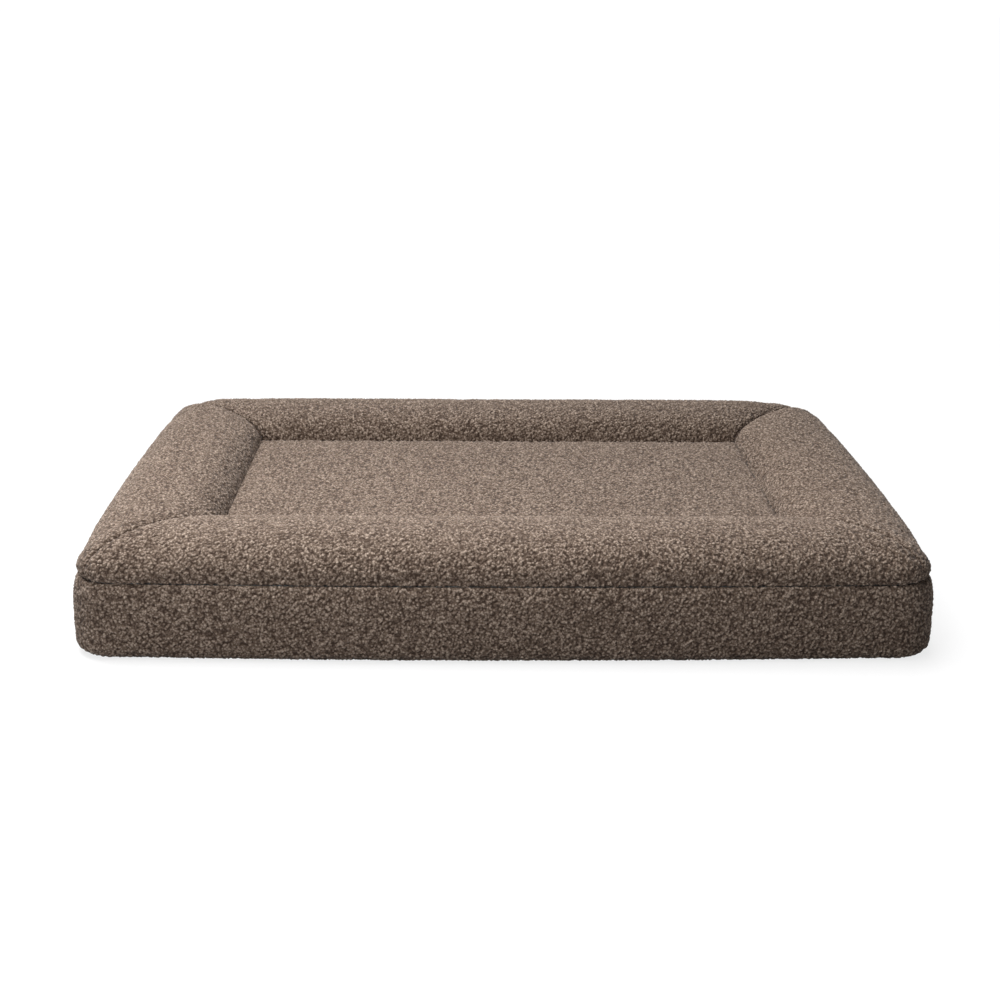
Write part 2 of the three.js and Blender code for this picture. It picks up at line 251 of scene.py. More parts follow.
def overhang(z):
    """Share of the overhang at a height: none at a bolster's foot and its crest, most below its middle."""
    share = np.clip((z - WAIST_Z) / (CREST_Z - WAIST_Z), 0, 1)
    return np.sin(math.pi * share**0.75)


def arch(inset=0.0, step=STEP, seam=SEAM_TUCK):
    """A bolster's section from its outer to its inner foot, turned in to both seams."""
    crest = CREST * BOLSTER_WIDTH
    power = 2 / FULLNESS
    angle = np.linspace(0, QUARTER, 200)
    rise = np.sin(angle) ** power
    reach = np.cos(angle) ** power
    outer_z = WAIST_Z + (CREST_Z - inset - WAIST_Z) * rise
    inner_z = WELL_Z - FABRIC + (CREST_Z - inset - WELL_Z + FABRIC) * rise
    outer_u = crest - (crest - WAIST_INSET - inset) * reach
    inner_u = crest + (BOLSTER_WIDTH - crest - inset) * reach
    outer_u += tuck(outer_z - outer_z[0], seam) - OVERHANG * overhang(outer_z)
    inner_u -= tuck(inner_z - inner_z[0], seam)
    u = np.concatenate([outer_u, inner_u[::-1][1:]])
    z = np.concatenate([outer_z, inner_z[::-1][1:]])
    return even(np.stack([u, z], axis=-1), step)


def bezier(a, b, c, d, count=60):
    """A cubic curve through a and d."""
    t = np.linspace(0, 1, count)[:, None]
    a, b, c, d = (np.array(point) for point in (a, b, c, d))
    return a * (1 - t) ** 3 + 3 * b * t * (1 - t) ** 2 + 3 * c * t**2 * (1 - t) + d * t**3


def base_side(top=None, step=STEP, turn_in=SEAM_TUCK):
    """The side of the base, from under its lower edge to where it turns in at its top."""
    full = EDGE_LIFT + EDGE_RADIUS
    edge = bezier(
        (EDGE_RADIUS, EDGE_LIFT),
        (EDGE_RADIUS / 2, EDGE_LIFT),
        (0, EDGE_LIFT + 0.2 * EDGE_RADIUS),
        (0, full),
    )
    side = bezier(
        (0, full),
        (0, 0.75 * WAIST_Z),
        (1 * MM, 0.92 * WAIST_Z),
        (WAIST_INSET - 2 * MM, WAIST_Z),
    )
    points = np.concatenate([edge, side[1:]])
    if top is not None:
        points = points[points[:, 1] < top]
    head = points[-1, 1]
    points[:, 0] += tuck(head - points[:, 1], turn_in)
    return even(points, step)


# ------------------------------------------------------------------ noise


BLOCK = 64  # cells each way before the loops of yarn repeat
LOOPS = np.random.default_rng(11).random((BLOCK, BLOCK, BLOCK, 8)).astype(np.float32)


def nubs(points):
    """Height of the yarn's loops at each point, from 0 to 1, and a random tone of each loop."""
    flat = (points.reshape(-1, 3) / NUB).astype(np.float32)
    cell = np.floor(flat).astype(np.int32)
    height = np.zeros(len(flat), np.float32)
    tone = np.full(len(flat), 0.5, np.float32)
    for shift in itertools.product((-1, 0, 1), repeat=3):
        near = cell + np.array(shift, np.int32)
        chance = LOOPS[tuple((near % BLOCK).T)]
        away = flat - near - chance[:, :3]
        axis = chance[:, 3:6] - 0.5
        axis /= np.linalg.norm(axis, axis=1, keepdims=True) + 1e-6
        along = (away * axis).sum(axis=1)
        distance = (away**2).sum(axis=1) - 0.5 * along**2
        radius = 0.45 + 0.25 * chance[:, 6]
        dome = (0.65 + 0.35 * chance[:, 7]) * np.clip(1 - distance / radius**2, 0, 1) ** 0.75
        higher = dome > height
        height[higher] = dome[higher]
        tone[higher] = chance[higher, 7] * 0.5 + chance[higher, 6] * 0.5
    shape = points.shape[:-1]
    return height.reshape(shape), tone.reshape(shape)


def waves(points, scale, seed, count=10):
    """Smooth noise around 0, made of a few long waves in random directions."""
    rng = np.random.default_rng(seed)
    total = np.zeros(points.shape[:-1])
    for _ in range(count):
        direction = rng.normal(size=3)
        direction *= 2 * math.pi / (scale * rng.uniform(0.7, 1.6) * np.linalg.norm(direction))
        total += np.sin(points @ direction + rng.uniform(0, 2 * math.pi))
    return total / math.sqrt(count)


# ------------------------------------------------------------------ meshes


def normals_of(grid):
    """Unit normals of a grid of points, out of the bed on a section that runs from foot to foot."""
    along = np.gradient(grid, axis=0)
    across = np.gradient(grid, axis=1)
    normal = np.cross(along, across)
    return normal / np.maximum(np.linalg.norm(normal, axis=-1, keepdims=True), 1e-12)


def mesh_object(name, vertices, faces):
    """A smooth mesh piece that rides on the bed."""
    mesh = bpy.data.meshes.new(name)
    mesh.from_pydata(vertices.reshape(-1, 3).tolist(), [], faces)
    mesh.validate()
    mesh.polygons.foreach_set("use_smooth", np.ones(len(mesh.polygons), bool))
    piece = bpy.data.objects.new(name, mesh)
    bpy.context.scene.collection.objects.link(piece)
    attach(piece, "bed")
    return piece


def paint(piece, name, values):
    """Stores one number for each vertex, for the material to read."""
    layer = piece.data.attributes.new(name, "FLOAT", "POINT")
    layer.data.foreach_set("value", np.ascontiguousarray(values, np.float32).ravel())


def tube_faces(rows, columns):
    """Faces of a grid that closes on itself across, with a cap at each end."""
    here = np.arange(rows * columns).reshape(rows, columns)
    side = np.roll(here, -1, axis=1)
    quads = np.stack([here[:-1], here[1:], side[1:], side[:-1]], axis=-1).reshape(-1, 4)
    return quads.tolist() + [here[0].tolist(), here[-1][::-1].tolist()]


def tube(name, grid):
    """A closed piece lofted over rings."""
    return mesh_object(name, grid, tube_faces(*grid.shape[:2]))


def boucle_shell(name, outside, inside):
    """Cloth with a nubby outer face, a plain inner face, and its edges joined."""
    height, tone = nubs(outside)
    fade = edge_fade(outside.shape[:2], 4, 2)
    rise = PILE * (height - PILE_BELOW) * fade
    face = outside + normals_of(outside) * rise[..., None]
    grid = np.concatenate([face, inside], axis=1)
    piece = tube(name, grid)
    blank = np.zeros(inside.shape[:2])
    # the material paints shade and highlight from this height; faded to 0 along the sewn borders, the
    # cloth there gets the darkest painted shade
    paint(piece, "nub", np.concatenate([height * fade, blank], axis=1))
    paint(piece, "tone", np.concatenate([tone, blank + 0.5], axis=1))
    return piece


def edge_fade(shape, rows, columns):
    """1 over a grid, and less within so many rows and columns of its borders, where it is sewn."""
    down = np.minimum(np.arange(shape[0]), np.arange(shape[0])[::-1])
    along = np.minimum(np.arange(shape[1]), np.arange(shape[1])[::-1])
    fades = np.clip((down + 1) / rows, 0, 1)[:, None], np.clip((along + 1) / columns, 0, 1)[None]
    return np.minimum(*fades)


# ------------------------------------------------------------------ materials

# Stops of colour ramps: a position on the texture, and its colour.
# Painted shade and highlight: the yarn's colour runs from dark low between its loops to light on their
# tops.
YARN_SHADE_TO_HIGHLIGHT = (0.0, (0.115, 0.080, 0.061)), (0.3, (0.235, 0.178, 0.140)), (0.85, (0.355, 0.280, 0.226))
YARN_TONES = (0.1, (0.80, 0.76, 0.74)), (0.5, (1, 1, 1)), (0.9, (1.18, 1.20, 1.21))
# Painted shade in the hollows of the yarn's curls, and painted highlight on their tops.
CURL_PAINTED_SHADE = (0.05, (1.32, 1.30, 1.28)), (0.35, (1, 1, 1)), (0.62, (0.42, 0.38, 0.35))
TAUPE_TAPE = (0.2, (0.035, 0.027, 0.021)), (0.8, (0.085, 0.066, 0.052))
TAUPE_NYLON = (0.3, (0.04, 0.031, 0.024)), (0.7, (0.06, 0.047, 0.037))
PEWTER = (0.3, (0.19, 0.17, 0.145)), (0.7, (0.27, 0.245, 0.21))
CHARCOAL_CLOTH = (0.2, (0.022, 0.019, 0.017)), (0.8, (0.055, 0.049, 0.043))
GREIGE_CLOTH = (0.2, (0.19, 0.165, 0.14)), (0.8, (0.32, 0.285, 0.25))
FILM = (0.3, (0.62, 0.66, 0.68)), (0.7, (0.72, 0.76, 0.78))
CREAM_FOAM = (0.1, (0.72, 0.66, 0.44)), (0.6, (0.56, 0.50, 0.32))
BLUE_FOAM = (0.1, (0.62, 0.70, 0.74)), (0.6, (0.46, 0.54, 0.59))
FIBRE = (0.3, (0.66, 0.65, 0.62)), (0.7, (0.86, 0.85, 0.83))
PALE_FLOOR = (0, (0.45, 0.45, 0.455)), (1, (0.47, 0.47, 0.475))


def new_material(name, roughness):
    """A material, and what its recipe needs: its nodes, its links and its shader."""
    material = bpy.data.materials.new(name)
    material.use_nodes = True
    tree = material.node_tree
    shader = tree.nodes["Principled BSDF"]
    shader.inputs["Roughness"].default_value = roughness
    return material, tree.nodes, tree.links, shader


def colour_ramp(nodes, *stops):
    """A ramp through colours, each given with its position."""
    ramp = nodes.new("ShaderNodeValToRGB")
    elements = ramp.color_ramp.elements
    while len(elements) < len(stops):
        elements.new(0.5)
    for element, (position, colour) in zip(elements, stops):
        element.position = position
        element.color = (*colour, 1)
    return ramp


def textured(name, stops, texture, relief, roughness=0.9, metallic=0.0):
    """A material whose colour and relief both follow one procedural texture."""
    material, nodes, links, shader = new_material(name, roughness)
    pattern = texture(nodes, links)
    ramp = colour_ramp(nodes, *stops)
    links.new(pattern, ramp.inputs["Fac"])
    links.new(ramp.outputs["Color"], shader.inputs["Base Color"])
    bump = nodes.new("ShaderNodeBump")
    bump.inputs["Distance"].default_value = relief
    links.new(pattern, bump.inputs["Height"])
    links.new(bump.outputs["Normal"], shader.inputs["Normal"])
    shader.inputs["Metallic"].default_value = metallic
    return material


def position_in(nodes):
    """The place on a piece, for a pattern to follow."""
    return nodes.new("ShaderNodeTexCoord").outputs["Object"]


def grain(scale, detail=4):
    """Recipe of a noise with this many features to the metre."""

    def texture(nodes, links):
        noise = nodes.new("ShaderNodeTexNoise")
        noise.inputs["Scale"].default_value = scale
        noise.inputs["Detail"].default_value = detail
        links.new(position_in(nodes), noise.inputs["Vector"])
        return noise.outputs["Fac"]

    return texture


def cells(scale):
    """Recipe of open foam: small round cells with thin walls."""

    def texture(nodes, links):
        cell = nodes.new("ShaderNodeTexVoronoi")
        cell.inputs["Scale"].default_value = scale
        links.new(position_in(nodes), cell.inputs["Vector"])
        return cell.outputs["Distance"]

    return texture


def weave(scale):
    """Recipe of a plain weave: threads along each axis, of which any face shows two sets."""

    def texture(nodes, links):
        place_in = position_in(nodes)
        threads = []
        for direction in ("X", "Y", "Z"):
            wave = nodes.new("ShaderNodeTexWave")
            wave.bands_direction = direction
            wave.inputs["Scale"].default_value = scale
            wave.inputs["Distortion"].default_value = 1.2
            wave.inputs["Detail Scale"].default_value = 2
            links.new(place_in, wave.inputs["Vector"])
            threads.append(wave.outputs["Fac"])
        total = threads[0]
        for thread in threads[1:]:
            add = nodes.new("ShaderNodeMath")
            add.operation = "MULTIPLY_ADD"
            add.inputs[1].default_value = 0.5  # the threads so far count half
            links.new(total, add.inputs[0])
            links.new(thread, add.inputs[2])
            total = add.outputs["Value"]
        scaled = nodes.new("ShaderNodeMath")
        scaled.operation = "MULTIPLY"
        scaled.inputs[1].default_value = 0.57  # brings the sum back to between 0 and 1
        links.new(total, scaled.inputs[0])
        return scaled.outputs["Value"]

    return texture


def multiplied(nodes, links, first, second):
    """The product of two colours."""
    product = nodes.new("ShaderNodeVectorMath")
    product.operation = "MULTIPLY"
    links.new(first, product.inputs[0])
    links.new(second, product.inputs[1])
    return product.outputs["Vector"]


def warped_position(nodes, links, scale, distance):
    """The place on a piece, shaken so that a pattern laid over it is uneven."""
    shake = nodes.new("ShaderNodeTexNoise")
    shake.inputs["Scale"].default_value = scale
    links.new(position_in(nodes), shake.inputs["Vector"])
    shift = nodes.new("ShaderNodeVectorMath")
    shift.operation = "MULTIPLY_ADD"
    shift.inputs[1].default_value = (distance, distance, distance)
    links.new(shake.outputs["Color"], shift.inputs[0])
    links.new(position_in(nodes), shift.inputs[2])
    return shift.outputs["Vector"]


def boucle_material():
    """Taupe yarn, each loop with its own tone: painted shade between the loops and painted highlight on
    their tops, and painted shade in the hollows of its curls.
    """
    material, nodes, links, shader = new_material("boucle", 0.95)
    height = nodes.new("ShaderNodeAttribute")
    height.attribute_name = "nub"
    # painted shade between the loops and painted highlight on their tops, by each loop's height
    body = colour_ramp(nodes, *YARN_SHADE_TO_HIGHLIGHT)
    links.new(height.outputs["Fac"], body.inputs["Fac"])
    tone = nodes.new("ShaderNodeAttribute")
    tone.attribute_name = "tone"
    tint = colour_ramp(nodes, *YARN_TONES)
    links.new(tone.outputs["Fac"], tint.inputs["Fac"])
    curl = nodes.new("ShaderNodeTexVoronoi")
    curl.inputs["Scale"].default_value = 1 / CURL
    links.new(warped_position(nodes, links, 0.6 / CURL, CURL), curl.inputs["Vector"])
    # painted shade: darker the deeper into a curl's hollow, lighter on its tops
    depth = colour_ramp(nodes, *CURL_PAINTED_SHADE)
    links.new(curl.outputs["Distance"], depth.inputs["Fac"])
    colour = multiplied(nodes, links, body.outputs["Color"], tint.outputs["Color"])
    colour = multiplied(nodes, links, colour, depth.outputs["Color"])
    links.new(colour, shader.inputs["Base Color"])
    bump = nodes.new("ShaderNodeBump")
    bump.invert = True
    bump.inputs["Strength"].default_value = 0.8
    bump.inputs["Distance"].default_value = 1.2 * MM
    links.new(curl.outputs["Distance"], bump.inputs["Height"])
    links.new(bump.outputs["Normal"], shader.inputs["Normal"])
    shader.inputs["Specular IOR Level"].default_value = 0.15
    shader.inputs["Sheen Weight"].default_value = 0.12
    shader.inputs["Sheen Roughness"].default_value = 0.5
    return material


MATERIALS = {
    "boucle": boucle_material(),
    "underside": textured("underside", CHARCOAL_CLOTH, weave(260), 0.3 * MM),
    "plain_cloth": textured("plain_cloth", GREIGE_CLOTH, weave(330), 0.2 * MM),
    "liner_film": textured("liner_film", FILM, grain(60), 0.6 * MM, roughness=0.38),
    "firm_foam": textured("firm_foam", CREAM_FOAM, cells(520), 0.5 * MM),
    "soft_foam": textured("soft_foam", BLUE_FOAM, cells(750), 0.4 * MM),
    "fibre_filling": textured("fibre_filling", FIBRE, grain(190, detail=8), 1.2 * MM, roughness=1.0),
    "zip_tape": textured("zip_tape", TAUPE_TAPE, weave(500), 0.15 * MM),
    "zip_coil": textured("zip_coil", TAUPE_NYLON, grain(700), 0.05 * MM, roughness=0.4),
    "zip_metal": textured("zip_metal", PEWTER, grain(420), 0.02 * MM, roughness=0.36, metallic=1.0),
}


def dress(piece, material, *nodes):
    """Gives a piece its material and slot, and hides the CAD nodes it stands for."""
    piece.data.materials.clear()
    piece.data.materials.append(MATERIALS[material])
    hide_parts(*nodes)
    return piece


# ------------------------------------------------------------------ how filling shapes a cover


def pillow(distance, reach):
    """0 on a seam, rising steeply to 1 where the filling has its full height again."""
    share = np.clip(distance / reach, 0, 1)
    return np.sqrt(1 - (1 - share) ** 2)


def from_mitre(grid, corner):
    """Distance in plan of each point from a corner's mitre line."""
    across = np.array([corner[1], -corner[0]]) / math.sqrt(2)
    return np.abs((grid[..., :2] - corner_point(corner)) @ across)


def sink_at_mitres(grid, side):
    """Lets a bolster down towards its foot line at the mitre seams."""
    feet = np.linspace(0, 1, grid.shape[1])
    foot = grid[:, :1, 2] * (1 - feet) + grid[:, -1:, 2] * feet
    keep = np.ones(grid.shape[:2])
    for corner in SIDES[side][1:3]:
        drop, reach = MITRES[corner]
        keep *= 1 - drop * (1 - pillow(from_mitre(grid, corner), reach))
    grid[..., 2] = foot + (grid[..., 2] - foot) * keep
    return grid


def stitched_at_mitres(grid, side):
    """Draws the cloth into a narrow crease along the mitre seams.

    At the rear the crease is shallow outside and becomes a wide, deep notch in the well's corner.
    """
    inward = np.linspace(0, 1, grid.shape[1])[None]
    crease = np.zeros(grid.shape[:2])
    for corner in SIDES[side][1:3]:
        at_rear = corner[1] > 0
        notch = REAR_NOTCH * inward**3 if at_rear else 0
        depth = CREASE_DEPTH * ((0.5 if at_rear else 1) + notch)
        share = 1 - from_mitre(grid, corner) / (CREASE_REACH * (1 + notch))
        crease += depth * np.clip(share, 0, 1) ** 2
    return grid - normals_of(grid) * crease[..., None]


def thinned(count, step):
    """Indices along a grid a few apart, with both ends."""
    return np.unique(np.linspace(0, count - 1, max(3, count // step)).round().astype(int))


def spread(values, at, count):
    """Values known at some indices, read at every index and smoothed over the gaps between."""
    every = np.arange(count)
    shape = values.shape[1:]
    flat = values.reshape(len(values), -1)
    full = np.stack([np.interp(every, at, column) for column in flat.T], axis=-1)
    gap = max(1, round(count / len(at)))
    kernel = np.hanning(2 * gap + 3)[1:-1]
    kernel /= kernel.sum()
    padded = np.pad(full, ((gap, gap), (0, 0)), mode="edge")
    smooth = np.stack([np.convolve(padded[:, i], kernel, "valid") for i in range(full.shape[1])], axis=-1)
    return smooth.reshape(count, *shape)


def settled(grid, most, pressure):
    """The same cover after the filling has pushed it out between its seams, by a cloth simulation.

    The cloth is simulated coarsely, and what it moved by, up to a limit, is passed on to the grid.
    """
    rows = thinned(grid.shape[0], CLOTH_STRIDE)
    columns = thinned(grid.shape[1], CLOTH_STRIDE)
    coarse = grid[np.ix_(rows, columns)]
    moved = cloth_moves(coarse, pressure)
    length = np.linalg.norm(moved, axis=-1, keepdims=True)
    moved *= most / (most + length)
    across = spread(moved, rows, grid.shape[0])
    field = spread(across.swapaxes(0, 1), columns, grid.shape[1]).swapaxes(0, 1)
    hold = edge_fade(grid.shape[:2], CLOTH_STRIDE, CLOTH_STRIDE)[..., None]
    return grid + field * hold


def cloth_moves(coarse, pressure):
    """How far each point of a grid of cloth moves under pressure, with its border sewn down."""
    height, width = coarse.shape[:2]
    here = np.arange(height * width).reshape(height, width)
    quads = np.stack([here[:-1, :-1], here[1:, :-1], here[1:, 1:], here[:-1, 1:]], axis=-1)
    mesh = bpy.data.meshes.new("cloth")
    mesh.from_pydata(coarse.reshape(-1, 3).tolist(), [], quads.reshape(-1, 4).tolist())
    cloth = bpy.data.objects.new("cloth", mesh)
    bpy.context.scene.collection.objects.link(cloth)
    sewn = np.ones((height, width), bool)
    sewn[1:-1, 1:-1] = False
    cloth.vertex_groups.new(name="sewn").add(here[sewn].tolist(), 1, "REPLACE")
    modifier = cloth.modifiers.new("cloth", "CLOTH")
    modifier.point_cache.frame_end = CLOTH_FRAMES
    settings = modifier.settings
    settings.quality = 6
    settings.vertex_group_mass = "sewn"
    settings.use_pressure = True
    settings.uniform_pressure_force = pressure
    settings.shrink_min = -0.012
    settings.effector_weights.gravity = 0
    for frame_number in range(1, CLOTH_FRAMES + 1):
        bpy.context.scene.frame_set(frame_number)
    shaped = cloth.evaluated_get(bpy.context.evaluated_depsgraph_get()).data
    found = np.empty(height * width * 3, np.float32)
    shaped.vertices.foreach_get("co", found)
    bpy.context.scene.frame_set(1)
    bpy.data.objects.remove(cloth)
    bpy.data.meshes.remove(mesh)
    return found.reshape(coarse.shape) - coarse


# ------------------------------------------------------------------ cover


def bolster_cover(side):
    """One bolster's cover, swollen by its filling and creased at both mitre seams."""
    near = side_stations(side, STEP)
    section = arch()
    outside = sink_at_mitres(place(near, section[:, 0], section[:, 1]), side)
    outside = stitched_at_mitres(settled(outside, most=5 * MM, pressure=3), side)
    lining = arch(FABRIC, COARSE_STEP, seam=0)[::-1]
    inside = sink_at_mitres(place(near, lining[:, 0], lining[:, 1]), side)
    piece = boucle_shell(f"{side}_bolster_cover", outside, inside)
    dress(piece, "boucle", f"bolster_cover_{side}")


def rear_corner(end):
    """The half of a rear corner that belongs to the rear side, as far as the straight."""
    arc = round(CORNER_RADIUS * QUARTER / 2 / STEP)
    turn = np.linspace(0, QUARTER / 2, arc + 1)
    if end == "left":
        return stations("rear", turn[::-1], np.ones(arc + 1))
    return stations("rear", -turn[::-1], np.zeros(arc + 1))


def joined(*parts):
    """One run of stations from several that meet end to end."""
    kept = [tuple(column[:-1] for column in part) for part in parts[:-1]] + [parts[-1]]
    return tuple(np.concatenate(column) for column in zip(*kept))


def band(name, node, near, top):
    """A strip of the cover's side, from under the base's lower edge up to its own upper seam."""
    section = base_side(top)
    outside = place(near, section[:, 0], section[:, 1])
    outside = settled(outside, most=2.5 * MM, pressure=2)
    lining = base_side(top, COARSE_STEP, turn_in=0)[::-1]
    inside = place(near, lining[:, 0] + FABRIC, np.maximum(lining[:, 1], 2 * MM))
    piece = dress(boucle_shell(name, outside, inside), "boucle", node)


def bands():
    """The band round the front and the sides, and the one below the zip."""
    left, front, right = (side_stations(side, STEP) for side in ("left", "front", "right"))
    wrapped = joined(rear_corner("left"), left, front, right, rear_corner("right"))
    band("side_band", "front_and_side_band", wrapped, top=WAIST_Z)
    straight = side_stations("rear", STEP, turned=(False, False))
    band("back_band", "rear_band", straight, top=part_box("rear_band")[1][2])


def sleeping_panel():
    """The well's floor: a level panel whose border dips to the seam under the bolsters."""
    x = even_range(PANEL_LOW[0] - PANEL_LAP, PANEL_HIGH[0] + PANEL_LAP, STEP)
    y = even_range(PANEL_LOW[1] - PANEL_LAP, PANEL_HIGH[1] + PANEL_LAP, STEP)
    grid = np.zeros((len(x), len(y), 3))
    grid[..., 0], grid[..., 1] = np.meshgrid(x, y, indexing="ij")
    from_edge = np.minimum.reduce(
        [grid[..., 0] - x[0], x[-1] - grid[..., 0], grid[..., 1] - y[0], y[-1] - grid[..., 1]]
    )
    grid[..., 2] = WELL_Z - 0.6 * MM - PANEL_DIP * (1 - pillow(from_edge, PANEL_DIP_REACH))
    grid = settled(grid, most=3 * MM, pressure=1)
    below = grid[:, [-1, 0]].copy()
    below[..., 2] = PANEL_LOW[2] - 0.8 * MM
    piece = dress(boucle_shell("well_panel", grid, below), "boucle", "sleeping_panel")


def even_range(low, high, step):
    """Numbers from low to high, about a step apart."""
    return np.linspace(low, high, round((high - low) / step) + 1)


# ------------------------------------------------------------------ inside the cover


def all_round(step):
    """Stations once round the bed, without a repeat where the ends meet."""
    near = joined(*(side_stations(side, step) for side in SIDES))
    return tuple(column[:-1] for column in near)


def shoulder(u):
    """Height of the base's top under the bolsters: it rises from the waist and then is level."""
    t = np.linspace(0, 1, 60)
    start, turn, end = (WAIST_INSET, WAIST_Z), (SHOULDER_TURN, SHOULDER_Z), (SHOULDER_END, SHOULDER_Z)
    curve = [a * (1 - t) ** 2 + 2 * b * t * (1 - t) + c * t**2 for a, b, c in zip(start, turn, end)]
    return np.interp(u, *curve)


def side_inset(z):
    """How far in the base's side is at a height."""
    side = base_side(turn_in=0)
    return np.interp(z, side[:, 1], side[:, 0])


def block_section(inset, low, high, step):
    """Section of a block inside the cover, from its lower to its upper face."""
    softened = 3 * MM
    z = even_range(low + softened, high - softened, step)
    side = np.stack([side_inset(z) + inset, z], axis=-1)
    foot = np.array([[side[0, 0] + softened, low]])
    head = np.array([[side[-1, 0] + softened, high]])
    return np.concatenate([foot, side, head])


def shoulder_section(inset, low, step):
    """Section of a block that fills the shoulder under the bolsters."""
    lower = block_section(inset, low, WAIST_Z - inset, step)[:-1]
    u = even_range(lower[-1, 0] + 2 * MM, BOLSTER_WIDTH, step)
    upper = np.stack([u, shoulder(u) - inset], axis=-1)
    return np.concatenate([lower, upper])


def clear_of_zip(grid):
    """Sets back what would lie behind the zip, so that its slider has room to run."""
    tape_low, tape_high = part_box("zip_tape_lower")
    back = REAR_Y - ZIP_RECESS
    behind = np.abs(grid[..., 0]) < tape_high[0] + ZIP_MARGIN
    behind &= grid[..., 2] > tape_low[2] - 1 * MM
    behind &= grid[..., 1] > back
    grid[..., 1] = np.where(behind, back, grid[..., 1])
    return grid


def carried_round(name, section, step, roughen=0.0, seed=1):
    """A closed block: a section carried round the plan, its faces filled with ever smaller rings."""
    near = all_round(step)
    side = clear_of_zip(place(near, section[:, 0], section[:, 1]))
    shrink = np.linspace(1, 0.02, round(PANEL_HIGH[1] / step / 2))[1:]
    low, high = side[:, :1], side[:, -1:]
    grid = np.concatenate([ringed(low, shrink)[:, ::-1], side, ringed(high, shrink)], axis=1)
    grid = grid + normals_of(grid) * roughen * waves(grid, 0.05, seed)[..., None]
    rows, columns = grid.shape[:2]
    here = np.arange(rows * columns).reshape(rows, columns)
    after = np.roll(here, -1, axis=0)
    quads = np.stack([here[:, :-1], after[:, :-1], after[:, 1:], here[:, 1:]], axis=-1).reshape(-1, 4)
    faces = quads.tolist() + [here[::-1, 0].tolist(), here[:, -1].tolist()]
    return mesh_object(name, grid, faces)


def ringed(edge, shrink):
    """Rings drawn in towards the middle of the bed from an edge ring."""
    middle = edge.mean(axis=0, keepdims=True)
    return middle + (edge - middle) * shrink[None, :, None]


def foams():
    """The firm block, and the soft one on it that also fills the shoulder under the bolsters."""
    step = 12 * MM
    low, high = np.array(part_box("support_foam"))
    section = block_section(FOAM_INSET, low[2], high[2], step)
    lower = carried_round("support_block", section, step, roughen=0.15 * MM, seed=21)
    dress(lower, "firm_foam", "support_foam")
    low, high = np.array(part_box("comfort_foam"))
    section = shoulder_section(FOAM_INSET, low[2], 3 * MM)
    upper = carried_round("comfort_block", section, step, roughen=0.15 * MM, seed=22)
    dress(upper, "soft_foam", "comfort_foam")


def liner():
    """The waterproof bag round the foam: thin, slightly creased, with its mouth at the rear."""
    low, high = np.array(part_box("inner_liner"))
    section = shoulder_section(LINER_INSET, low[2], 3 * MM)
    piece = carried_round("liner_bag", section, 9 * MM, roughen=0.1 * MM, seed=23)
    open_mouth(piece)
    wall = piece.modifiers.new("wall", "SOLIDIFY")
    wall.thickness = 0.3 * MM
    wall.offset = -1
    dress(piece, "liner_film", "inner_liner")


def open_mouth(piece):
    """Cuts the bag's mouth out of its rear face, where the bands' zip is."""
    bag = bmesh.new()
    bag.from_mesh(piece.data)
    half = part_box("zip_tape_lower")[1][0]
    back = REAR_Y - ZIP_RECESS - 3 * MM
    gone = []
    for face in bag.faces:
        x, y, z = face.calc_center_median()
        if abs(x) < half and y > back and MOUTH_FLOOR < z < MOUTH_TOP:
            gone.append(face)
    bmesh.ops.delete(bag, geom=gone, context="FACES")
    bag.to_mesh(piece.data)
    bag.free()


def bolster_insert(side):
    """A bag of fibre in the shape of the filled bolster, lumpy and softer towards its ends."""
    near = side_stations(side, 5 * MM, reach=0.96)
    section = arch(FILLING_INSET, 2 * MM, seam=0)
    section[:, 0] = np.maximum(section[:, 0], FILLING_FOOT)
    section[:, 1] = np.maximum(section[:, 1], shoulder(section[:, 0]) - 1 * MM)
    section = even(section, 5 * MM)
    upper = sink_at_mitres(place(near, section[:, 0], section[:, 1]), side)
    u = even_range(section[0, 0], section[-1, 0], 5 * MM)[-2:0:-1]
    lower = place(near, u, shoulder(u) - 1.6 * MM)
    grid = np.concatenate([upper, lower], axis=1)
    lumps = LUMP * (waves(grid, 0.06, 31) + 0.5 * waves(grid, 0.012, 32))
    grid[:, : len(section)] += (normals_of(grid) * lumps[..., None])[:, : len(section)]
    piece = dress(tube(f"{side}_bolster_filling", grid), "fibre_filling", f"bolster_insert_{side}")


def bolster_lining(side):
    """The plain cloth under a bolster's filling, over the foam."""
    near = side_stations(side, 6 * MM, reach=0.97)
    u = even_range(FILLING_FOOT, BOLSTER_WIDTH - FABRIC - GAP, 5 * MM)
    top = shoulder(u) - BASE_CLOTH_DROP
    heights = np.concatenate([top, top[::-1] - BASE_CLOTH])
    grid = place(near, np.concatenate([u, u[::-1]]), heights)
    piece = dress(tube(f"{side}_bolster_base_cloth", grid), "plain_cloth", f"bolster_lining_{side}")


# ------------------------------------------------------------------ underside


def bottom_panel():
    """Woven base cloth, with low rubber dots that grip the floor."""
    low, high = np.array(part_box("bottom_panel"))
    edge = EDGE_RADIUS - 1 * MM
    half_way = (DOT_HEIGHT + high[2]) / 2
    section = np.array([[edge, DOT_HEIGHT], [edge - 0.3 * MM, half_way], [edge, high[2]]])
    piece = carried_round("base_cloth", section, 8 * MM)
    add_dots(piece)
    dress(piece, "underside", "bottom_panel")


def add_dots(piece):
    """Domes in rows on the underside, every second row set half a pitch along."""
    cloth = bmesh.new()
    cloth.from_mesh(piece.data)
    edge = EDGE_RADIUS + DOT_PITCH / 2
    rows = even_range(FRONT_Y + edge, REAR_Y - edge, DOT_PITCH)
    for number, y in enumerate(rows):
        reach = HALF_X - edge - (number % 2) * DOT_PITCH / 2
        for x in even_range(-reach, reach, DOT_PITCH):
            dome(cloth, Vector((x, y, DOT_HEIGHT)))
    cloth.to_mesh(piece.data)
    cloth.free()
    piece.data.polygons.foreach_set("use_smooth", np.ones(len(piece.data.polygons), bool))


